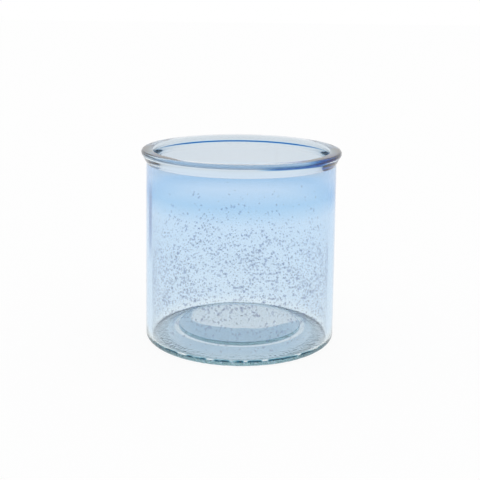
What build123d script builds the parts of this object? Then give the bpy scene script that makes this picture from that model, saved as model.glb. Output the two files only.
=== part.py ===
"""Straight-sided glass jar lantern with a flared rounded lip, a pushed-up base and a speckled inner coat.

Frame: millimetres, +Z up, origin at the centre of the plane that the base ring stands on.
Three concentric pieces: the moulded glass, the tinted lacquer sprayed inside it, and the layer of
silvering that is broken into flecks on that lacquer.
"""
import os
from math import cos, radians, sin, tan

from build123d import *

os.makedirs("parts", exist_ok=True)

# ---- driving dimensions of the glass ----
height = 100.3                # base plane to the top of the lip
body_radius = 50.0            # outside radius at the foot of the wall
mould_taper = 0.75            # degrees that the wall leans inwards, for release from the mould
wall = 3.0                    # side wall thickness
heel_radius = 2.6             # outside rounding between wall and base ring

lip_height = 6.7              # the flared lip, from the neck under it to its top
lip_overhang = 2.5            # how far the lip stands out past the wall below it
lip_inset = 0.9               # how far it swells inwards past the wall
lip_edge = 2.0                # upright stretch of its edges, outside and inside, before they slant to the neck
lip_outer_round = 1.4         # rounding between its outer edge and its top
lip_inner_round = 1.7         # rounding between its top and its inner edge
lip_under_round = 1.6         # rounding below both edges

floor_rise = 7.0              # top of the pushed-up middle of the inner floor, above the base plane
plateau_radius = 32.0         # radius of that flat middle
plateau_step = 0.4            # height of the small step round it, and how far it runs out
floor_low = 1.7               # lowest height of the inner floor, beside the wall
floor_corner_radius = 2.0     # inside rounding between floor and wall
floor_gutter = 2.0            # level run between that rounding and the foot of the slope up to the middle

ring_width = 6.4              # flat base ring that the jar stands on
punt_radius = 32.0            # flat top of the hollow under the base
punt_rise = 4.2               # height of that hollow

# ---- driving dimensions of the two inner layers ----
coat_thickness = 0.2          # tinted lacquer, over the floor corner, the wall and the inside of the lip
coat_lip = 2.6                # how far below the top of the lip the lacquer ends
fleck_thickness = 0.2         # silvering, on the lacquer
fleck_foot = 0.5              # height of the silvering's lower edge above the floor corner's rounding
fleck_headroom = 13.0         # bare lacquer between the silvering and the neck under the lip

# ---- worked out from them ----
lean = tan(radians(mould_taper))
neck = height - lip_height


def outer_radius(z):
    """Outside radius of the wall at height z."""
    return body_radius - lean * z


def inner_radius(z):
    """Inside radius of the wall at height z."""
    return outer_radius(z) - wall


lip_outer = outer_radius(neck) + lip_overhang
lip_inner = inner_radius(neck) - lip_inset
lip_middle = (lip_outer + lip_inner) / 2
clear_of_lip = lip_inner - coat_thickness - fleck_thickness
corner_top = floor_low + floor_corner_radius
corner_centre = inner_radius(corner_top) - floor_corner_radius
slope_foot = corner_centre - floor_gutter
punt_foot = body_radius - heel_radius - ring_width
heel_middle = heel_radius * (1 - sin(radians(45)))
corner_middle = floor_corner_radius * cos(radians(45))
fleck_bottom = corner_top + fleck_foot
fleck_top = neck - fleck_headroom


# ---- the moulded glass: one revolved section ----
with BuildPart() as glass_vessel:
    with BuildSketch(Plane.XZ) as glass_section:
        with BuildLine() as glass_outline:
            under = Polyline(
                (0, punt_rise),
                (punt_radius, punt_rise),
                (punt_foot, 0),
                (body_radius - heel_radius, 0),
            )
            heel = ThreePointArc(
                under @ 1,
                (body_radius - heel_middle, heel_middle),
                (outer_radius(heel_radius), heel_radius),
            )
            outside = Line(heel @ 1, (outer_radius(neck), neck))
            lip = Polyline(
                outside @ 1,
                (lip_outer, height - lip_edge),
                (lip_outer, height),
                (lip_inner, height),
                (lip_inner, height - lip_edge),
                (inner_radius(neck), neck),
            )
            inside = Line(lip @ 1, (inner_radius(corner_top), corner_top))
            corner = ThreePointArc(
                inside @ 1,
                (corner_centre + corner_middle, corner_top - corner_middle),
                (corner_centre, floor_low),
            )
            floor = Polyline(
                corner @ 1,
                (slope_foot, floor_low),
                (plateau_radius + plateau_step, floor_rise - plateau_step),
                (plateau_radius, floor_rise),
                (0, floor_rise),
                (0, punt_rise),
            )
        make_face()
        for radius, across, up in (
            (lip_outer_round, lip_outer, height),
            (lip_inner_round, lip_inner, height),
            (lip_under_round, lip_outer, height - lip_edge),
            (lip_under_round, lip_inner, height - lip_edge),
        ):
            fillet(glass_section.vertices().sort_by_distance((across, up, 0))[0], radius)
    revolve(axis=Axis.Z)
glass_vessel.part.label = "glass_vessel"
export_step(glass_vessel.part, "parts/glass_vessel.step")


def inner_skin(start, thickness, bottom, top):
    """Half-section of a skin on the glass: the section grown by start + thickness, less the section grown
    by start, kept between two heights and from a line that lies in the cavity out to the wall's middle."""
    middle = outer_radius(bottom) - wall / 2
    with BuildSketch(Plane.XZ) as skin:
        add(glass_section.sketch_local)
        offset(amount=start + thickness)
        with BuildSketch(mode=Mode.PRIVATE) as below:
            add(glass_section.sketch_local)
            if start:
                offset(amount=start)
        add(below.sketch_local, mode=Mode.SUBTRACT)
        Polygon((corner_centre, bottom), (middle, bottom), (lip_middle, top), (clear_of_lip, top),
                align=None, mode=Mode.INTERSECT)
    return skin.sketch


# ---- the tinted lacquer: from the floor corner, up the wall and over the inside of the lip ----
with BuildPart() as tint_coat:
    add(inner_skin(0, coat_thickness, floor_low, height - coat_lip))
    revolve(axis=Axis.Z)
tint_coat.part.label = "tint_coat"
export_step(tint_coat.part, "parts/tint_coat.step")

# ---- the silvering: the band of the inner wall where the flecks lie ----
with BuildPart() as silver_flecks:
    add(inner_skin(coat_thickness, fleck_thickness, fleck_bottom, fleck_top))
    revolve(axis=Axis.Z)
silver_flecks.part.label = "silver_flecks"
export_step(silver_flecks.part, "parts/silver_flecks.step")
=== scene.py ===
"""Looks of the blue glass jar lantern: moulded glass, sprayed lacquer and broken silvering."""

from math import acos, cos, pi, radians, sin, sqrt, tan

import bpy
from mathutils import Euler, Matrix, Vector


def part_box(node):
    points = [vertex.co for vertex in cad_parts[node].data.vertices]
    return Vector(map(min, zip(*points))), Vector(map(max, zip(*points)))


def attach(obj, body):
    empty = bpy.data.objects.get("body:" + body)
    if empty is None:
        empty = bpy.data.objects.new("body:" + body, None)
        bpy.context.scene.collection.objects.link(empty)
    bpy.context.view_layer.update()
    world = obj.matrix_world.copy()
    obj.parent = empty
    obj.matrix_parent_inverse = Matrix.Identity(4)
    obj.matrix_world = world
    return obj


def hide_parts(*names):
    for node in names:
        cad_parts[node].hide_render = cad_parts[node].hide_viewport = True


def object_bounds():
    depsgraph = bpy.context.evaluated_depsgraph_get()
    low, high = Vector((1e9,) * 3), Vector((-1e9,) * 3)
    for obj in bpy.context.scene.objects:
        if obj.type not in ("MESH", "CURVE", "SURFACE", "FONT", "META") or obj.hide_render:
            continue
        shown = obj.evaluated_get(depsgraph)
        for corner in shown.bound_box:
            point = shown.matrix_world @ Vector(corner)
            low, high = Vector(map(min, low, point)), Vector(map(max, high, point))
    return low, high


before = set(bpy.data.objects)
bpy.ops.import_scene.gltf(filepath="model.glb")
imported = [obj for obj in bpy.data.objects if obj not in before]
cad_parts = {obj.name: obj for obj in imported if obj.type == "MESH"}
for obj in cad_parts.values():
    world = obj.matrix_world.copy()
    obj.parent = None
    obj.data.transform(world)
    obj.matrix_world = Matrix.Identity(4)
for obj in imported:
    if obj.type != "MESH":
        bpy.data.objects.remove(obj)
cad_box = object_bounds()

MM = 0.001                      # sizes below are in millimetres, and this turns them into metres

# ---- sizes of the moulded glass: the overall ones come from the frame ----
glass_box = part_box("glass_vessel")
coat_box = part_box("tint_coat")
silver_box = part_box("silver_flecks")
height = glass_box[1].z / MM                # base plane to the top of the lip
lip_outer = glass_box[1].x / MM             # outside radius of the lip
body_radius = 50.0                          # outside radius at the foot of the wall
mould_taper = 0.75                          # degrees that the wall leans inwards
wall = 3.0                                  # side wall thickness
heel_radius = 2.6                           # outside rounding between wall and base ring
lip_height = 6.7                            # the flared lip, from the neck under it to its top
lip_inset = 0.9                             # how far it swells inwards past the wall
lip_edge = 2.0                              # upright stretch of its edges, before they slant to the neck
lip_outer_round = 1.4                       # rounding between its outer edge and its top
lip_inner_round = 1.7                       # rounding between its top and its inner edge
lip_under_round = 1.6                       # rounding below both edges
floor_rise = 7.0                            # height of the pushed-up middle of the inner floor
plateau_radius = 32.0                       # radius of that flat middle
floor_low = 1.7                             # lowest height of the inner floor, beside the wall
floor_corner_radius = 2.0                   # inside rounding between floor and wall
floor_gutter = 2.0                          # level run between that rounding and the slope to the middle
ring_width = 6.4                            # flat base ring that the jar stands on
punt_radius = 32.0                          # flat top of the hollow under the base
punt_rise = 4.2                             # height of that hollow

# ---- what the mould and the fire polish add ----
neck_round = 0.5                            # softened notch under the lip
step_round = 1.5                            # softened edge of the flat middle of the inner floor
slope_round = 3.0                           # softened foot of the slope up to it
punt_round = 3.0                            # softened edges of the hollow below
waver_height = 0.10                         # how far the wall wavers in and out
waver_length = 22.0                         # from one swell of the waver to the next
calm_middle = 10.0                          # nearer to the axis than this there is no waver
around = 288                                # facets round the axis
section_step = 2.5                          # about how long a facet is along the section
seam_gap = 0.001                            # points closer than this are sewn together

# ---- the two layers on the inner wall ----
coat_top = coat_box[1].z / MM               # upper edge of the lacquer, and top of the deep blue line of painted refraction inside the lip
coat_thickness = 0.2
coat_sink = 0.06                            # on the wall the lacquer lies this far below the glass's face
coat_gap = 0.05                             # on the floor and inside the lip it lies this far off the glass
floor_film_reach = 0.6                      # how far the film on the floor runs out into the floor corner
floor_film_rise = 1.0                       # up to this far above its middle, all counts as floor
lip_film_foot = 1.5                         # from the neck up to where the lacquer leaves the glass's face
lip_film_head = 1.0                         # from the top of the lip down to where it comes back to it
crest_reach = 0.3                           # how far the overspray runs down past the lip's upright edge
silver_foot = silver_box[0].z / MM
silver_top = silver_box[1].z / MM
silver_depth = 0.3                          # from the glass to the middle of the silvering
chip_thickness = 0.05

# ---- worked out from them ----
neck = height - lip_height
punt_foot = body_radius - heel_radius - ring_width
floor_edge = body_radius - wall - floor_corner_radius + floor_film_reach
floor_top = floor_rise + floor_film_rise


def outer_radius(z):
    """Outside radius of the wall at height z."""
    return body_radius - tan(radians(mould_taper)) * z


def inner_radius(z):
    """Inside radius of the wall at height z."""
    return outer_radius(z) - wall


# ---------------------------------------------------------------- helpers
def linear(hex_colour):
    """Linear colour of an sRGB hex value."""
    parts = [int(hex_colour[i:i + 2], 16) / 255 for i in (1, 3, 5)]
    return [c / 12.92 if c <= 0.04045 else ((c + 0.055) / 1.055) ** 2.4 for c in parts] + [1.0]


def per_skin(hex_colour):
    """The tint of one face of a film, so that its two faces together give the sRGB hex value."""
    return [sqrt(c) for c in linear(hex_colour)[:3]] + [1.0]


def add_node(tree, kind, settings, inputs):
    """Adds a node, sets its options, and gives each input a value or a link from another node's output."""
    node = tree.nodes.new(kind)
    for option, choice in settings.items():
        setattr(node, option, choice)
    for socket, source in inputs.items():
        if isinstance(source, bpy.types.NodeSocket):
            tree.links.new(source, node.inputs[socket])
        else:
            node.inputs[socket].default_value = source
    return node


def new_material(name):
    """An empty node material and its tree."""
    material = bpy.data.materials.new(name)
    material.use_nodes = True
    material.node_tree.nodes.clear()
    return material, material.node_tree


def new_geometry_tree(name, inputs):
    """An empty Geometry Nodes tree with the named inputs; returns it and its input node."""
    tree = bpy.data.node_groups.new(name, "GeometryNodeTree")
    tree.interface.new_socket("Geometry", in_out="OUTPUT", socket_type="NodeSocketGeometry")
    tree.interface.new_socket("Geometry", in_out="INPUT", socket_type="NodeSocketGeometry")
    for label, kind in inputs:
        tree.interface.new_socket(label, in_out="INPUT", socket_type="NodeSocket" + kind)
    return tree, tree.nodes.new("NodeGroupInput")


def run_tree(name, base, tree, **values):
    """Runs a tree on a base mesh and returns the result as an object with a plain mesh at the origin."""
    piece = bpy.data.objects.new(name, base)
    bpy.context.scene.collection.objects.link(piece)
    modifier = piece.modifiers.new("maker", "NODES")
    modifier.node_group = tree
    for item in tree.interface.items_tree:
        key = item.name.lower().replace(" ", "_")
        if item.in_out == "INPUT" and key in values:
            modifier[item.identifier] = values[key]
    evaluated = piece.evaluated_get(bpy.context.evaluated_depsgraph_get())
    mesh = bpy.data.meshes.new_from_object(evaluated)
    piece.modifiers.remove(modifier)
    piece.data = mesh
    mesh.name = name
    return piece


# ---------------------------------------------------------------- section lines, as (radius, height)
def rounded(points, radii):
    """A section line whose inner corners are rounded, each by its own radius."""
    facet = radians(9)
    line = [Vector(points[0])]
    for before, corner, after, radius in zip(points, points[1:], points[2:], radii):
        corner = Vector(corner)
        back = (Vector(before) - corner).normalized()
        ahead = (Vector(after) - corner).normalized()
        half = acos(back @ ahead) / 2
        centre = corner + (back + ahead).normalized() * radius / sin(half)
        first = corner + back * radius / tan(half) - centre
        last = corner + ahead * radius / tan(half) - centre
        turn = pi - 2 * half
        steps = max(2, round(turn / facet))
        for i in range(steps + 1):
            t = i / steps
            line.append(centre + (first * sin((1 - t) * turn) + last * sin(t * turn)) / sin(turn))
    return line + [Vector(points[-1])]


def spaced(line, step):
    """The same line with points added, so that no stretch is much longer than step."""
    out = [line[0]]
    for a, b in zip(line, line[1:]):
        parts = max(1, round((b - a).length / step))
        out += [a.lerp(b, i / parts) for i in range(1, parts + 1)]
    return out


def moved_in(line, on_wall, on_floor):
    """The lacquer's line moved sideways into the glass, by one amount on the wall and the lip's crest and by
    another on the floor and inside the lip."""
    out = []
    for i, point in enumerate(line):
        along = (line[min(i + 1, len(line) - 1)] - line[max(i - 1, 0)]).normalized()
        on_the_floor = point.x < floor_edge and point.y < floor_top
        inside_lip = point.x < lip_outer - wall and neck + lip_film_foot < point.y < height - lip_film_head
        amount = on_floor if on_the_floor or inside_lip else on_wall
        out.append(point + Vector((-along.y, along.x)) * amount)
    return out


def glass_outside():
    """From the middle of the underside over the hollow, the ring, the heel and the wall to the lip's top."""
    return rounded(
        [(0, punt_rise), (punt_radius, punt_rise), (punt_foot, 0), (body_radius, 0),
         (outer_radius(neck), neck), (lip_outer, height - lip_edge), (lip_outer, height),
         (lip_outer - wall, height)],
        [punt_round, punt_round, heel_radius, neck_round, lip_under_round, lip_outer_round],
    )


def glass_inside():
    """From the top of the lip down the inner wall and over the floor corner and the slope to the middle."""
    lip_inner = inner_radius(neck) - lip_inset
    corner_top = floor_low + floor_corner_radius
    slope_foot = inner_radius(corner_top) - floor_corner_radius - floor_gutter
    return rounded(
        [(lip_outer - wall, height), (lip_inner, height), (lip_inner, height - lip_edge),
         (inner_radius(neck), neck), (inner_radius(floor_low), floor_low), (slope_foot, floor_low),
         (plateau_radius, floor_rise), (0, floor_rise)],
        [lip_inner_round, lip_under_round, lip_under_round, floor_corner_radius, slope_round, step_round],
    )


def section_mesh(name, line):
    """The line as a mesh of points and edges in the XZ plane, for the lathe to turn."""
    mesh = bpy.data.meshes.new(name)
    points = [(x * MM, 0, z * MM) for x, z in line]
    mesh.from_pydata(points, [(i, i + 1) for i in range(len(points) - 1)], [])
    return mesh


# ---------------------------------------------------------------- Geometry Nodes: the lathe
def lathe_tree():
    """Turns a section about Z: a grid has one row for each section point and one column for each facet round
    the axis, and each grid point takes its row's radius and height and its column's angle."""
    tree, given = new_geometry_tree("glass_lathe", [
        ("Around", "Int"), ("Waver Height", "Float"), ("Waver Length", "Float"), ("Material", "Material"),
    ])
    size = add_node(tree, "GeometryNodeAttributeDomainSize", {"component": "MESH"}, {
        "Geometry": given.outputs["Geometry"]})
    columns = add_node(tree, "ShaderNodeMath", {"operation": "ADD"}, {0: given.outputs["Around"], 1: 1.0})
    grid = add_node(tree, "GeometryNodeMeshGrid", {}, {
        "Vertices X": size.outputs["Point Count"], "Vertices Y": columns.outputs[0]})
    index = add_node(tree, "GeometryNodeInputIndex", {}, {})
    whole = add_node(tree, "ShaderNodeMath", {"operation": "DIVIDE"}, {
        0: index.outputs[0], 1: columns.outputs[0]})
    row = add_node(tree, "ShaderNodeMath", {"operation": "FLOOR"}, {0: whole.outputs[0]})
    column = add_node(tree, "ShaderNodeMath", {"operation": "SUBTRACT"}, {
        0: whole.outputs[0], 1: row.outputs[0]})
    turned = add_node(tree, "ShaderNodeMath", {"operation": "MULTIPLY"}, {
        0: column.outputs[0], 1: columns.outputs[0]})
    share = add_node(tree, "ShaderNodeMath", {"operation": "DIVIDE"}, {
        0: turned.outputs[0], 1: given.outputs["Around"]})
    angle = add_node(tree, "ShaderNodeMath", {"operation": "MULTIPLY"}, {0: share.outputs[0], 1: 2 * pi})
    place = add_node(tree, "GeometryNodeInputPosition", {}, {})
    point = add_node(tree, "GeometryNodeSampleIndex", {"data_type": "FLOAT_VECTOR", "domain": "POINT"}, {
        "Geometry": given.outputs["Geometry"], "Value": place.outputs[0], "Index": row.outputs[0]})
    parts = add_node(tree, "ShaderNodeSeparateXYZ", {}, {0: point.outputs[0]})
    along_x = add_node(tree, "ShaderNodeMath", {"operation": "COSINE"}, {0: angle.outputs[0]})
    along_y = add_node(tree, "ShaderNodeMath", {"operation": "SINE"}, {0: angle.outputs[0]})
    direction = add_node(tree, "ShaderNodeCombineXYZ", {}, {0: along_x.outputs[0], 1: along_y.outputs[0]})

    seat = add_node(tree, "ShaderNodeCombineXYZ", {}, {
        0: along_x.outputs[0], 1: along_y.outputs[0], 2: parts.outputs["Z"]})
    wide = add_node(tree, "ShaderNodeVectorMath", {"operation": "MULTIPLY"}, {
        0: seat.outputs[0], 1: (body_radius * MM, body_radius * MM, 1.0)})
    swells = add_node(tree, "ShaderNodeMath", {"operation": "DIVIDE"}, {
        0: 1.0, 1: given.outputs["Waver Length"]})
    noise = add_node(tree, "ShaderNodeTexNoise", {"noise_dimensions": "3D"}, {
        "Vector": wide.outputs[0], "Scale": swells.outputs[0], "Detail": 1.0})
    centred = add_node(tree, "ShaderNodeMath", {"operation": "SUBTRACT"}, {0: noise.outputs["Fac"], 1: 0.5})
    waver = add_node(tree, "ShaderNodeMath", {"operation": "MULTIPLY"}, {
        0: centred.outputs[0], 1: given.outputs["Waver Height"]})
    off_axis = add_node(tree, "ShaderNodeMath", {"operation": "GREATER_THAN"}, {
        0: parts.outputs["X"], 1: calm_middle * MM})
    swell = add_node(tree, "ShaderNodeMath", {"operation": "MULTIPLY"}, {
        0: waver.outputs[0], 1: off_axis.outputs[0]})
    radius = add_node(tree, "ShaderNodeMath", {"operation": "ADD"}, {
        0: parts.outputs["X"], 1: swell.outputs[0]})

    flat = add_node(tree, "ShaderNodeVectorMath", {"operation": "SCALE"}, {
        0: direction.outputs[0], "Scale": radius.outputs[0]})
    lift = add_node(tree, "ShaderNodeCombineXYZ", {}, {2: parts.outputs["Z"]})
    spot = add_node(tree, "ShaderNodeVectorMath", {"operation": "ADD"}, {
        0: flat.outputs[0], 1: lift.outputs[0]})
    turned_mesh = add_node(tree, "GeometryNodeSetPosition", {}, {
        "Geometry": grid.outputs["Mesh"], "Position": spot.outputs[0]})
    sewn = add_node(tree, "GeometryNodeMergeByDistance", {}, {
        "Geometry": turned_mesh.outputs[0], "Distance": seam_gap * MM})
    outward = add_node(tree, "GeometryNodeFlipFaces", {}, {"Mesh": sewn.outputs[0]})
    smooth = add_node(tree, "GeometryNodeSetShadeSmooth", {}, {"Geometry": outward.outputs[0]})
    real = add_node(tree, "GeometryNodeRealizeInstances", {}, {"Geometry": smooth.outputs[0]})
    coloured = add_node(tree, "GeometryNodeSetMaterial", {}, {
        "Geometry": real.outputs[0], "Material": given.outputs["Material"]})
    add_node(tree, "NodeGroupOutput", {}, {"Geometry": coloured.outputs[0]})
    return tree


# ---------------------------------------------------------------- Geometry Nodes: the broken silvering
def chips_tree():
    """Scatters flat chips over the inner wall: crowded low down, thinning out upwards, and in loose clouds.
    After they are made real a noise pulls every outline out of round, so that no two are alike."""
    crowding = ((0.0, 0.10), (0.10, 0.20), (0.18, 0.42), (0.39, 0.88), (0.47, 0.80), (0.57, 0.48), (0.72, 0.15),
                (0.87, 0.03), (1.0, 0.0))   # share of the band's height, and share of the full crowd there
    cloud_size, cloud_gap, cloud_full = 9 * MM, 0.36, 0.62
    thin_cloud, thick_cloud = 0.5, 1.3      # what the crowd is multiplied by between and in the clouds
    rarity = 4.0                            # the higher, the fewer large chips among the small
    longest = 1.7                           # length of the longest chips, in their own widths
    chip_sides, chip_radius = 5, 0.53       # a pentagon a little over one unit wide, for the grain to pull at
    grain_size = 0.7 * MM

    tree, given = new_geometry_tree("silvering_chips", [
        ("Chips per Square Metre", "Float"), ("Seed", "Int"), ("Foot", "Float"), ("Top", "Float"),
        ("Smallest", "Float"), ("Largest", "Float"), ("Thickness", "Float"), ("Ragged", "Float"),
        ("Material", "Material"),
    ])
    place = add_node(tree, "GeometryNodeInputPosition", {}, {})
    parts = add_node(tree, "ShaderNodeSeparateXYZ", {}, {0: place.outputs[0]})
    up = add_node(tree, "ShaderNodeMapRange", {}, {
        "Value": parts.outputs["Z"], "From Min": given.outputs["Foot"], "From Max": given.outputs["Top"]})
    crowd = add_node(tree, "ShaderNodeFloatCurve", {}, {"Value": up.outputs[0]})
    curve = crowd.mapping.curves[0]
    curve.points[0].location = crowding[0]
    curve.points[1].location = crowding[-1]
    for share_up, share_full in crowding[1:-1]:
        curve.points.new(share_up, share_full)
    crowd.mapping.update()
    clouds = add_node(tree, "ShaderNodeTexNoise", {}, {
        "Vector": place.outputs[0], "Scale": 1 / cloud_size, "Detail": 2.0})
    patchy = add_node(tree, "ShaderNodeMapRange", {}, {
        "Value": clouds.outputs["Fac"], "From Min": cloud_gap, "From Max": cloud_full,
        "To Min": thin_cloud, "To Max": thick_cloud})
    share = add_node(tree, "ShaderNodeMath", {"operation": "MULTIPLY"}, {
        0: crowd.outputs[0], 1: patchy.outputs[0]})
    density = add_node(tree, "ShaderNodeMath", {"operation": "MULTIPLY"}, {
        0: share.outputs[0], 1: given.outputs["Chips per Square Metre"]})
    dots = add_node(tree, "GeometryNodeDistributePointsOnFaces", {"distribute_method": "RANDOM"}, {
        "Mesh": given.outputs["Geometry"], "Density": density.outputs[0], "Seed": given.outputs["Seed"]})
    seed_two = add_node(tree, "ShaderNodeMath", {"operation": "ADD"}, {0: given.outputs["Seed"], 1: 1.0})
    seed_three = add_node(tree, "ShaderNodeMath", {"operation": "ADD"}, {0: given.outputs["Seed"], 1: 2.0})
    spin = add_node(tree, "FunctionNodeRandomValue", {"data_type": "FLOAT"}, {
        "Min": -0.5 * pi, "Max": 0.5 * pi, "Seed": given.outputs["Seed"]})
    about = add_node(tree, "ShaderNodeCombineXYZ", {}, {2: spin.outputs["Value"]})
    spin_by = add_node(tree, "FunctionNodeEulerToRotation", {}, {0: about.outputs[0]})
    facing = add_node(tree, "FunctionNodeRotateRotation", {"rotation_space": "LOCAL"}, {
        "Rotation": dots.outputs["Rotation"], "Rotate By": spin_by.outputs[0]})
    luck = add_node(tree, "FunctionNodeRandomValue", {"data_type": "FLOAT"}, {"Seed": seed_two.outputs[0]})
    rare = add_node(tree, "ShaderNodeMath", {"operation": "POWER"}, {0: luck.outputs["Value"], 1: rarity})
    width = add_node(tree, "ShaderNodeMapRange", {}, {
        "Value": rare.outputs[0], "To Min": given.outputs["Smallest"], "To Max": given.outputs["Largest"]})
    stretch = add_node(tree, "FunctionNodeRandomValue", {"data_type": "FLOAT"}, {
        "Min": 1.0, "Max": longest, "Seed": seed_three.outputs[0]})
    length = add_node(tree, "ShaderNodeMath", {"operation": "MULTIPLY"}, {
        0: width.outputs[0], 1: stretch.outputs["Value"]})
    size = add_node(tree, "ShaderNodeCombineXYZ", {}, {
        0: length.outputs[0], 1: width.outputs[0], 2: given.outputs["Thickness"]})
    chip = add_node(tree, "GeometryNodeMeshCylinder", {"fill_type": "NGON"}, {
        "Vertices": chip_sides, "Side Segments": 1, "Radius": chip_radius, "Depth": 1.0})
    spread = add_node(tree, "GeometryNodeInstanceOnPoints", {}, {
        "Points": dots.outputs["Points"], "Instance": chip.outputs["Mesh"],
        "Rotation": facing.outputs[0], "Scale": size.outputs[0]})
    real = add_node(tree, "GeometryNodeRealizeInstances", {}, {"Geometry": spread.outputs[0]})
    grain = add_node(tree, "ShaderNodeTexNoise", {}, {
        "Vector": place.outputs[0], "Scale": 1 / grain_size, "Detail": 1.0})
    centred = add_node(tree, "ShaderNodeVectorMath", {"operation": "SUBTRACT"}, {
        0: grain.outputs["Color"], 1: (0.5, 0.5, 0.5)})
    pull = add_node(tree, "ShaderNodeVectorMath", {"operation": "SCALE"}, {
        0: centred.outputs[0], "Scale": given.outputs["Ragged"]})
    outward = add_node(tree, "ShaderNodeVectorMath", {"operation": "MULTIPLY"}, {
        0: place.outputs[0], 1: (1.0, 1.0, 0.0)})
    lifted = add_node(tree, "ShaderNodeVectorMath", {"operation": "PROJECT"}, {
        0: pull.outputs[0], 1: outward.outputs[0]})
    sideways = add_node(tree, "ShaderNodeVectorMath", {"operation": "SUBTRACT"}, {
        0: pull.outputs[0], 1: lifted.outputs[0]})
    torn = add_node(tree, "GeometryNodeSetPosition", {}, {
        "Geometry": real.outputs[0], "Offset": sideways.outputs[0]})
    coloured = add_node(tree, "GeometryNodeSetMaterial", {}, {
        "Geometry": torn.outputs[0], "Material": given.outputs["Material"]})
    add_node(tree, "NodeGroupOutput", {}, {"Geometry": coloured.outputs[0]})
    return tree


# ---------------------------------------------------------------- materials
def soda_lime_glass():
    """Soda-lime glass, pressed in a mould and fire polished: clear and wet-looking, faintly blue-green where it
    is thick, with a finely stippled bearing ring that breaks up what is seen through it."""
    ring_top, ring_full, ring_share = 2.0 * MM, 0.6 * MM, 0.5       # heights where the stipple comes in
    dimple_spacing, dimple_depth, disorder = 1.4 * MM, 0.6 * MM, 0.8
    soda_lime_ior = 1.52
    green_density = 18.0                    # how soon the blue-green cast builds up, per metre of glass
    material, tree = new_material("soda_lime_glass_moulded")
    place = add_node(tree, "ShaderNodeTexCoord", {}, {})
    parts = add_node(tree, "ShaderNodeSeparateXYZ", {}, {0: place.outputs["Object"]})
    ring = add_node(tree, "ShaderNodeMapRange", {"interpolation_type": "SMOOTHSTEP"}, {
        "Value": parts.outputs["Z"], "From Min": ring_top, "From Max": ring_full, "To Max": ring_share})
    stipple = add_node(tree, "ShaderNodeTexVoronoi", {}, {
        "Vector": place.outputs["Object"], "Scale": 1 / dimple_spacing, "Randomness": disorder})
    dimples = add_node(tree, "ShaderNodeMath", {"operation": "MULTIPLY"}, {
        0: stipple.outputs["Distance"], 1: ring.outputs[0]})
    bump = add_node(tree, "ShaderNodeBump", {}, {
        "Height": dimples.outputs[0], "Strength": 1.0, "Distance": dimple_depth})
    shader = add_node(tree, "ShaderNodeBsdfPrincipled", {}, {
        "Base Color": linear("#FFFFFF"), "Roughness": 0.0, "IOR": soda_lime_ior, "Transmission Weight": 1.0,
        "Normal": bump.outputs[0]})
    inside = add_node(tree, "ShaderNodeVolumeAbsorption", {}, {
        "Color": linear("#ABD7DB"), "Density": green_density})
    add_node(tree, "ShaderNodeOutputMaterial", {}, {
        "Surface": shader.outputs[0], "Volume": inside.outputs[0]})
    return material


def sprayed_lacquer():
    """Translucent blue lacquer, sprayed down into the mouth: pale on the wall and deeper high up, with deep
    blue marks along the lip that are painted refraction, and on the floor a grey film that is partly lacquer
    and partly painted shade. It is a clear tint with no body of its own, so what is behind it shows through
    sharp."""
    material, tree = new_material("lacquer_translucent_sprayed")
    place = add_node(tree, "ShaderNodeTexCoord", {}, {})
    parts = add_node(tree, "ShaderNodeSeparateXYZ", {}, {0: place.outputs["Object"]})
    flat = add_node(tree, "ShaderNodeCombineXYZ", {}, {0: parts.outputs["X"], 1: parts.outputs["Y"]})
    off_axis = add_node(tree, "ShaderNodeVectorMath", {"operation": "LENGTH"}, {0: flat.outputs[0]})
    angle = add_node(tree, "ShaderNodeMath", {"operation": "ARCTAN2"}, {
        0: parts.outputs["Y"], 1: parts.outputs["X"]})
    colour = wall_tint(tree, parts, angle)
    colour = lip_painted_refraction(tree, parts, angle, off_axis, colour)
    colour = floor_film_and_painted_shade(tree, parts, flat, off_axis, colour)
    colour = corner_bead(tree, parts, flat, off_axis, colour)
    shader = add_node(tree, "ShaderNodeBsdfTransparent", {}, {"Color": colour})
    add_node(tree, "ShaderNodeOutputMaterial", {}, {"Surface": shader.outputs[0]})
    return material


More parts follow.
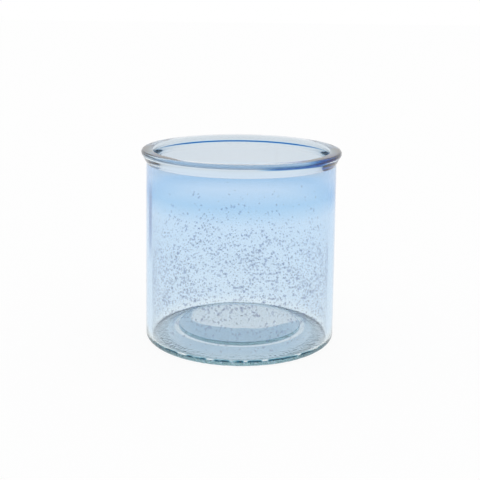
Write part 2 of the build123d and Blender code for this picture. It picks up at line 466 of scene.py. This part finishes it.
def wall_tint(tree, parts, angle):
    """The lacquer's tint by height, a greyer stretch high up on the far side, and a darker blue-grey band down
    the wall at one angle round it.
    """
    tints = ((0.03, "#FAFDFE"), (0.08, "#EEF6FD"), (0.45, "#E7F3FD"), (0.70, "#E4F1FD"), (0.79, "#C6E2F8"),
             (0.88, "#DDEBFA"), (0.94, "#D5E4F4"), (0.97, "#D4E2F0"), (0.985, "#D8E1EA"))
    full_height = 100 * MM                  # the heights of the tints are shares of this
    grey_from, grey_full = -5 * MM, 30 * MM         # along Y
    grey_foot, grey_head = 81 * MM, 87 * MM         # the heights between which it comes in
    dark_band_angle, dark_band_half, dark_band_core = radians(161), radians(4.5), radians(1.0)    # clockwise from X
    dark_band_foot, dark_band_deep = 40 * MM, 64 * MM           # heights where the darker band fades out below
    dark_band_clear, dark_band_head = 88 * MM, 76 * MM          # heights where it fades in above

    up = add_node(tree, "ShaderNodeMapRange", {}, {
        "Value": parts.outputs["Z"], "From Min": 0.0, "From Max": full_height})
    fade = add_node(tree, "ShaderNodeValToRGB", {}, {"Fac": up.outputs[0]})
    while len(fade.color_ramp.elements) < len(tints):
        fade.color_ramp.elements.new(0.5)
    for element, (share_up, colour) in zip(fade.color_ramp.elements, tints):
        element.position = share_up
        element.color = per_skin(colour)

    behind = add_node(tree, "ShaderNodeMapRange", {"interpolation_type": "SMOOTHSTEP"}, {
        "Value": parts.outputs["Y"], "From Min": grey_from, "From Max": grey_full})
    high = add_node(tree, "ShaderNodeMapRange", {"interpolation_type": "SMOOTHSTEP"}, {
        "Value": parts.outputs["Z"], "From Min": grey_foot, "From Max": grey_head})
    greyer = add_node(tree, "ShaderNodeMath", {"operation": "MULTIPLY"}, {
        0: behind.outputs[0], 1: high.outputs[0]})
    uneven = add_node(tree, "ShaderNodeMix", {"data_type": "RGBA"}, {
        "Factor": greyer.outputs[0], 6: fade.outputs["Color"], 7: per_skin("#DCE3EA")})

    # A darker blue-grey band painted into the tint, down the wall at one side.
    off_dark_band = add_node(tree, "ShaderNodeMath", {"operation": "ADD"}, {0: angle.outputs[0], 1: dark_band_angle})
    off_dark_band_by = add_node(tree, "ShaderNodeMath", {"operation": "ABSOLUTE"}, {0: off_dark_band.outputs[0]})
    dark_band_width = add_node(tree, "ShaderNodeMapRange", {"interpolation_type": "SMOOTHSTEP"}, {
        "Value": off_dark_band_by.outputs[0], "From Min": dark_band_half, "From Max": dark_band_core})
    dark_band_length = add_node(tree, "ShaderNodeMapRange", {"interpolation_type": "SMOOTHSTEP"}, {
        "Value": parts.outputs["Z"], "From Min": dark_band_foot, "From Max": dark_band_deep})
    dark_band_start = add_node(tree, "ShaderNodeMapRange", {"interpolation_type": "SMOOTHSTEP"}, {
        "Value": parts.outputs["Z"], "From Min": dark_band_clear, "From Max": dark_band_head})
    dark_band_span = add_node(tree, "ShaderNodeMath", {"operation": "MULTIPLY"}, {
        0: dark_band_length.outputs[0], 1: dark_band_start.outputs[0]})
    dark_wall_band = add_node(tree, "ShaderNodeMath", {"operation": "MULTIPLY"}, {
        0: dark_band_width.outputs[0], 1: dark_band_span.outputs[0]})
    with_dark_band = add_node(tree, "ShaderNodeMix", {"data_type": "RGBA"}, {
        "Factor": dark_wall_band.outputs[0], 6: uneven.outputs[2], 7: per_skin("#BCCDE4")})
    return with_dark_band.outputs[2]


def lip_painted_refraction(tree, parts, angle, off_axis, colour):
    """Painted refraction along the lip: a deep blue line at the lacquer's top edge inside the far lip, which
    swells towards the back, and a deep blue streak that runs slantwise over the lip's crest on one side. Both
    stand in for the blue that refraction through the lip shows there."""
    line_from, line_full = 10 * MM, 34 * MM         # along Y, where the line grows to its full width
    line_least, line_most = -0.1 * MM, 0.8 * MM     # its width there
    line_blur = 0.15 * MM                           # softness of its two edges
    streak_inner, streak_outer = 46.0 * MM, 50.5 * MM       # radii between which the streak slants
    streak_inner_angle, streak_outer_angle = radians(-52), radians(-24)
    streak_half, streak_core = radians(32), radians(14)
    crest_foot, crest_head = 97.6 * MM, 98.4 * MM           # heights between which it comes in

    streak_middle = add_node(tree, "ShaderNodeMapRange", {}, {
        "Value": off_axis.outputs["Value"], "From Min": streak_inner, "From Max": streak_outer,
        "To Min": streak_inner_angle, "To Max": streak_outer_angle})
    away = add_node(tree, "ShaderNodeMath", {"operation": "SUBTRACT"}, {
        0: angle.outputs[0], 1: streak_middle.outputs[0]})
    apart = add_node(tree, "ShaderNodeMath", {"operation": "ABSOLUTE"}, {0: away.outputs[0]})
    # width of the painted refraction line, growing towards the back
    bead = add_node(tree, "ShaderNodeMapRange", {}, {
        "Value": parts.outputs["Y"], "From Min": line_from, "From Max": line_full, "To Min": line_least,
        "To Max": line_most})
    over_line = add_node(tree, "ShaderNodeMath", {"operation": "SUBTRACT"}, {
        0: parts.outputs["Z"], 1: coat_top * MM})
    over_line_foot = add_node(tree, "ShaderNodeMath", {"operation": "ADD"}, {
        0: over_line.outputs[0], 1: bead.outputs[0]})
    below_top = add_node(tree, "ShaderNodeMapRange", {"interpolation_type": "SMOOTHSTEP"}, {
        "Value": over_line.outputs[0], "From Min": line_blur, "From Max": -line_blur})
    above_foot = add_node(tree, "ShaderNodeMapRange", {"interpolation_type": "SMOOTHSTEP"}, {
        "Value": over_line_foot.outputs[0], "From Min": -line_blur, "From Max": line_blur})
    line = add_node(tree, "ShaderNodeMath", {"operation": "MULTIPLY"}, {
        0: below_top.outputs[0], 1: above_foot.outputs[0]})
    on_crest = add_node(tree, "ShaderNodeMapRange", {"interpolation_type": "SMOOTHSTEP"}, {
        "Value": parts.outputs["Z"], "From Min": crest_foot, "From Max": crest_head})
    streak = add_node(tree, "ShaderNodeMapRange", {"interpolation_type": "SMOOTHSTEP"}, {
        "Value": apart.outputs[0], "From Min": streak_half, "From Max": streak_core})
    crest_refraction_streak = add_node(tree, "ShaderNodeMath", {"operation": "MULTIPLY"}, {
        0: on_crest.outputs[0], 1: streak.outputs[0]})
    # Both marks are painted refraction: the blue that the lip shows by refraction, put into the lacquer's
    # colour.
    refraction_marks = add_node(tree, "ShaderNodeMath", {"operation": "MAXIMUM"}, {
        0: line.outputs[0], 1: crest_refraction_streak.outputs[0]})
    refraction_tone = add_node(tree, "ShaderNodeMix", {"data_type": "RGBA"}, {
        "Factor": crest_refraction_streak.outputs[0], 6: per_skin("#1478C4"), 7: per_skin("#0056AA")})
    with_refraction_marks = add_node(tree, "ShaderNodeMix", {"data_type": "RGBA"}, {
        "Factor": refraction_marks.outputs[0], 6: colour, 7: refraction_tone.outputs[2]})
    return with_refraction_marks.outputs[2]


def floor_film_and_painted_shade(tree, parts, flat, off_axis, colour):
    """A thin grey film on the inner floor: partly the lacquer there and partly painted shade for the jar's
    shadow on the paper below, seen through the base. It has a wavy patch in its middle where the painted shade
    is left out, and a clear ring round the edge of the raised middle that is a painted highlight; it thins out
    to both sides."""
    # the lighter patch, towards the back, where the painted shade is left out
    patch_middle, patch_squeeze = (3 * MM, 10 * MM, 0), (1.0, 1.35, 0)
    wave_length, wave_depth = 16 * MM, 10 * MM                      # of the patch's outline
    patch_clear, patch_full = 34.5 * MM, 36.5 * MM                  # its outline, before the waves draw it in
    side_thin, side_full, thin_share = 46 * MM, 20 * MM, 0.3        # along X, and what is left at the sides
    # a ring with no grey film: a painted highlight along the edge of the raised middle
    highlight_ring_radius, highlight_ring_core, highlight_ring_edge = (plateau_radius + 1.8) * MM, 0.9 * MM, 1.7 * MM
    film_out, film_in = 46.6 * MM, 45.8 * MM                        # radii between which the film ends

    from_patch_middle = add_node(tree, "ShaderNodeVectorMath", {"operation": "SUBTRACT"}, {
        0: flat.outputs[0], 1: patch_middle})
    squeezed = add_node(tree, "ShaderNodeVectorMath", {"operation": "MULTIPLY"}, {
        0: from_patch_middle.outputs[0], 1: patch_squeeze})
    wobble = add_node(tree, "ShaderNodeTexNoise", {}, {
        "Vector": flat.outputs[0], "Scale": 1 / wave_length, "Detail": 1.0})
    wobble_by = add_node(tree, "ShaderNodeMath", {"operation": "MULTIPLY"}, {
        0: wobble.outputs["Fac"], 1: wave_depth})
    patch_size = add_node(tree, "ShaderNodeVectorMath", {"operation": "LENGTH"}, {0: squeezed.outputs[0]})
    patch_edge = add_node(tree, "ShaderNodeMath", {"operation": "ADD"}, {
        0: patch_size.outputs["Value"], 1: wobble_by.outputs[0]})
    outside_lit_patch = add_node(tree, "ShaderNodeMapRange", {"interpolation_type": "SMOOTHSTEP"}, {
        "Value": patch_edge.outputs[0], "From Min": patch_clear, "From Max": patch_full})
    to_side = add_node(tree, "ShaderNodeMath", {"operation": "ABSOLUTE"}, {0: parts.outputs["X"]})
    middle = add_node(tree, "ShaderNodeMapRange", {"interpolation_type": "SMOOTHSTEP"}, {
        "Value": to_side.outputs[0], "From Min": side_thin, "From Max": side_full, "To Min": thin_share})
    off_edge = add_node(tree, "ShaderNodeMath", {"operation": "SUBTRACT"}, {
        0: off_axis.outputs["Value"], 1: highlight_ring_radius})
    off_edge_by = add_node(tree, "ShaderNodeMath", {"operation": "ABSOLUTE"}, {0: off_edge.outputs[0]})
    off_highlight_ring = add_node(tree, "ShaderNodeMapRange", {"interpolation_type": "SMOOTHSTEP"}, {
        "Value": off_edge_by.outputs[0], "From Min": highlight_ring_core, "From Max": highlight_ring_edge})
    shade_thinned_to_sides = add_node(tree, "ShaderNodeMath", {"operation": "MULTIPLY"}, {
        0: outside_lit_patch.outputs[0], 1: middle.outputs[0]})
    painted_shade_mask = add_node(tree, "ShaderNodeMath", {"operation": "MULTIPLY"}, {
        0: shade_thinned_to_sides.outputs[0], 1: off_highlight_ring.outputs[0]})
    # The grey is partly lacquer and partly painted shade of the jar's shadow on the paper below; the near-white
    # is the lighter patch and the highlight ring.
    film = add_node(tree, "ShaderNodeMix", {"data_type": "RGBA"}, {
        "Factor": painted_shade_mask.outputs[0], 6: per_skin("#ECEEEF"), 7: per_skin("#C2D3DF")})
    on_floor = add_node(tree, "ShaderNodeMapRange", {"interpolation_type": "SMOOTHSTEP"}, {
        "Value": off_axis.outputs["Value"], "From Min": film_out, "From Max": film_in})
    low = add_node(tree, "ShaderNodeMath", {"operation": "LESS_THAN"}, {
        0: parts.outputs["Z"], 1: floor_top * MM})
    floor_part = add_node(tree, "ShaderNodeMath", {"operation": "MULTIPLY"}, {
        0: on_floor.outputs[0], 1: low.outputs[0]})
    with_floor_shade = add_node(tree, "ShaderNodeMix", {"data_type": "RGBA"}, {
        "Factor": floor_part.outputs[0], 6: colour, 7: film.outputs[2]})
    return with_floor_shade.outputs[2]


def corner_bead(tree, parts, flat, off_axis, colour):
    """A lumpy teal bead of lacquer in the floor corner, on the near side only."""
    near_from, near_full = -15 * MM, -35 * MM       # along Y
    bead_top, bead_full = 2.9 * MM, 2.5 * MM        # heights
    bead_inner = 45.4 * MM
    lump_length, lump_gap, lump_full = 5 * MM, 0.36, 0.56

    nearness = add_node(tree, "ShaderNodeMapRange", {"interpolation_type": "SMOOTHSTEP"}, {
        "Value": parts.outputs["Y"], "From Min": near_from, "From Max": near_full})
    in_corner = add_node(tree, "ShaderNodeMapRange", {"interpolation_type": "SMOOTHSTEP"}, {
        "Value": parts.outputs["Z"], "From Min": bead_top, "From Max": bead_full})
    outer = add_node(tree, "ShaderNodeMath", {"operation": "GREATER_THAN"}, {
        0: off_axis.outputs["Value"], 1: bead_inner})
    lumps = add_node(tree, "ShaderNodeTexNoise", {}, {
        "Vector": flat.outputs[0], "Scale": 1 / lump_length, "Detail": 1.0})
    lumpy = add_node(tree, "ShaderNodeMapRange", {"interpolation_type": "SMOOTHSTEP"}, {
        "Value": lumps.outputs["Fac"], "From Min": lump_gap, "From Max": lump_full})
    corner_near = add_node(tree, "ShaderNodeMath", {"operation": "MULTIPLY"}, {
        0: nearness.outputs[0], 1: in_corner.outputs[0]})
    corner_outer = add_node(tree, "ShaderNodeMath", {"operation": "MULTIPLY"}, {
        0: corner_near.outputs[0], 1: outer.outputs[0]})
    corner_lumps = add_node(tree, "ShaderNodeMath", {"operation": "MULTIPLY"}, {
        0: corner_outer.outputs[0], 1: lumpy.outputs[0]})
    full = add_node(tree, "ShaderNodeMix", {"data_type": "RGBA"}, {
        "Factor": corner_lumps.outputs[0], 6: colour, 7: per_skin("#3E8FA6")})
    return full.outputs[2]


def broken_silvering():
    """Mirror silvering that was etched into specks and dulled: a soft blue-grey metal powder look, thin enough
    to let some of the light behind it through."""
    blotch_size, dark_until, pale_from = 3 * MM, 0.35, 0.65
    dullness, cover = 0.55, 0.22
    material, tree = new_material("silvering_etched_dull")
    place = add_node(tree, "ShaderNodeTexCoord", {}, {})
    blotch = add_node(tree, "ShaderNodeTexNoise", {}, {
        "Vector": place.outputs["Object"], "Scale": 1 / blotch_size, "Detail": 1.0})
    tones = add_node(tree, "ShaderNodeValToRGB", {}, {"Fac": blotch.outputs["Fac"]})
    tones.color_ramp.elements[0].position = dark_until
    tones.color_ramp.elements[0].color = linear("#8E9CD6")
    tones.color_ramp.elements[1].position = pale_from
    tones.color_ramp.elements[1].color = linear("#B2BEEE")
    shader = add_node(tree, "ShaderNodeBsdfPrincipled", {}, {
        "Base Color": tones.outputs["Color"], "Roughness": dullness, "Alpha": cover})
    add_node(tree, "ShaderNodeOutputMaterial", {}, {"Surface": shader.outputs[0]})
    return material


# ---------------------------------------------------------------- the pieces
lathe = lathe_tree()
inside_line = glass_inside()


def turned_piece(name, line, material):
    """A section line turned on the lathe, with the waver that the moulded wall has."""
    return run_tree(name, section_mesh(name + "_section", spaced(line, section_step)), lathe, around=around,
                    waver_height=waver_height * MM, waver_length=waver_length * MM, material=material)


def add_glass():
    """The vessel in one closed turn: up the outside, over the lip and down the inside to the floor."""
    vessel = turned_piece("glass_vessel_moulded", glass_outside() + inside_line[1:], soda_lime_glass())
    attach(vessel, "root")
    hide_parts("glass_vessel")


def add_lacquer():
    """A thin closed skin that follows the glass from the lip's outer edge, over its crest and down the inner
    wall, to the middle of the floor. On the wall it lies within the glass, so no air shows between them."""
    crest_foot = height - lip_edge - crest_reach
    crest = [p for p in glass_outside() if p.x > lip_outer - lip_outer_round and p.y > crest_foot]
    covered = spaced(crest + inside_line, section_step)
    near_face = moved_in(covered, coat_sink, -coat_gap - coat_thickness)
    far_face = moved_in(covered, coat_sink + coat_thickness, -coat_gap)
    coat = turned_piece("tint_coat_skin", near_face + far_face[::-1] + near_face[:1], sprayed_lacquer())
    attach(coat, "root")
    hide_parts("tint_coat")


def add_silvering():
    """Chips scattered over a band of the inner wall, which is only there to carry them."""
    band = [Vector((inner_radius(z) - silver_depth, z)) for z in (silver_top, silver_foot)]
    wall_band = turned_piece("silvering_wall", band, None)
    chips = run_tree("silver_flecks_chips", wall_band.data, chips_tree(),
                     chips_per_square_metre=1.3e6, seed=7, foot=silver_foot * MM, top=silver_top * MM,
                     smallest=0.22 * MM, largest=1.35 * MM, thickness=chip_thickness * MM,
                     ragged=0.12 * MM, material=broken_silvering())
    bpy.data.objects.remove(wall_band)
    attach(chips, "root")
    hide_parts("silver_flecks")


add_glass()
add_lacquer()
add_silvering()


# ---------------------------------------------------------------- floor, light and camera
def add_floor():
    """White paper floor: plain diffuse paper that the camera and the glass see mostly at full white."""
    open_white, glass_white = 0.92, 0.1     # how much of that white is seen straight on, and through glass
    half = 6.0                              # metres
    gap_under = 0.05 * MM
    material, tree = new_material("white_paper")
    paper = add_node(tree, "ShaderNodeBsdfDiffuse", {}, {"Color": linear("#F2F2F2")})
    glow = add_node(tree, "ShaderNodeEmission", {}, {"Color": linear("#FFFFFF"), "Strength": 1.0})
    ray = add_node(tree, "ShaderNodeLightPath", {}, {})
    direct = add_node(tree, "ShaderNodeMath", {"operation": "MAXIMUM"}, {
        0: ray.outputs["Is Camera Ray"], 1: ray.outputs["Is Glossy Ray"]})
    open_share = add_node(tree, "ShaderNodeMath", {"operation": "MULTIPLY"}, {
        0: direct.outputs[0], 1: open_white})
    glass_share = add_node(tree, "ShaderNodeMath", {"operation": "MULTIPLY"}, {
        0: ray.outputs["Is Transmission Ray"], 1: glass_white})
    share = add_node(tree, "ShaderNodeMath", {"operation": "MAXIMUM"}, {
        0: open_share.outputs[0], 1: glass_share.outputs[0]})
    both = add_node(tree, "ShaderNodeMixShader", {}, {
        0: share.outputs[0], 1: paper.outputs[0], 2: glow.outputs[0]})
    add_node(tree, "ShaderNodeOutputMaterial", {}, {"Surface": both.outputs[0]})
    under = cad_box[0][2] - gap_under
    mesh = bpy.data.meshes.new("paper_floor")
    mesh.from_pydata([(-half, -half, under), (half, -half, under), (half, half, under), (-half, half, under)],
                     [], [(0, 1, 2, 3)])
    mesh.materials.append(material)
    floor = bpy.data.objects.new("paper_floor", mesh)
    bpy.context.scene.collection.objects.link(floor)


def add_light():
    """A white light tent all round, a little greyer on its front side, where it is open."""
    opening_edge, opening_full = -0.75, -0.95       # how far round to the front, from 0 to -1
    world = bpy.data.worlds.new("light_tent")
    bpy.context.scene.world = world
    world.use_nodes = True
    tree = world.node_tree
    tree.nodes.clear()
    place = add_node(tree, "ShaderNodeTexCoord", {}, {})
    parts = add_node(tree, "ShaderNodeSeparateXYZ", {}, {0: place.outputs["Generated"]})
    front = add_node(tree, "ShaderNodeMapRange", {"interpolation_type": "SMOOTHSTEP"}, {
        "Value": parts.outputs["Y"], "From Min": opening_edge, "From Max": opening_full})
    tone = add_node(tree, "ShaderNodeMix", {"data_type": "RGBA"}, {
        "Factor": front.outputs[0], 6: linear("#FFFFFF"), 7: linear("#A8A4B0")})
    back = add_node(tree, "ShaderNodeBackground", {}, {"Color": tone.outputs[2], "Strength": 1.0})
    add_node(tree, "ShaderNodeOutputWorld", {}, {"Surface": back.outputs[0]})


def add_camera():
    """A view through a longish lens from the front and a little above, held a touch askew."""
    place = (-0.24 * MM, -479 * MM, 176.1 * MM)
    downwards, askew = 14.573, 0.704        # degrees
    data = bpy.data.cameras.new("camera")
    data.sensor_width = 36.0
    data.lens = 70.52
    data.clip_start = 10 * MM
    camera = bpy.data.objects.new("camera", data)
    bpy.context.scene.collection.objects.link(camera)
    camera.location = place
    tilt = Euler((radians(90 - downwards), 0, 0)).to_matrix()
    roll = Euler((0, 0, radians(askew))).to_matrix()
    camera.rotation_euler = (tilt @ roll).to_euler()
    bpy.context.scene.camera = camera


add_floor()
add_light()
add_camera()
bpy.context.scene.view_settings.view_transform = "Standard"
# Light that turns round inside thick glass needs many bounces before it gets out.
most_bounces = 32
for limit in ("max_bounces", "transmission_bounces", "glossy_bounces", "transparent_max_bounces"):
    setattr(bpy.context.scene.cycles, limit, most_bounces)
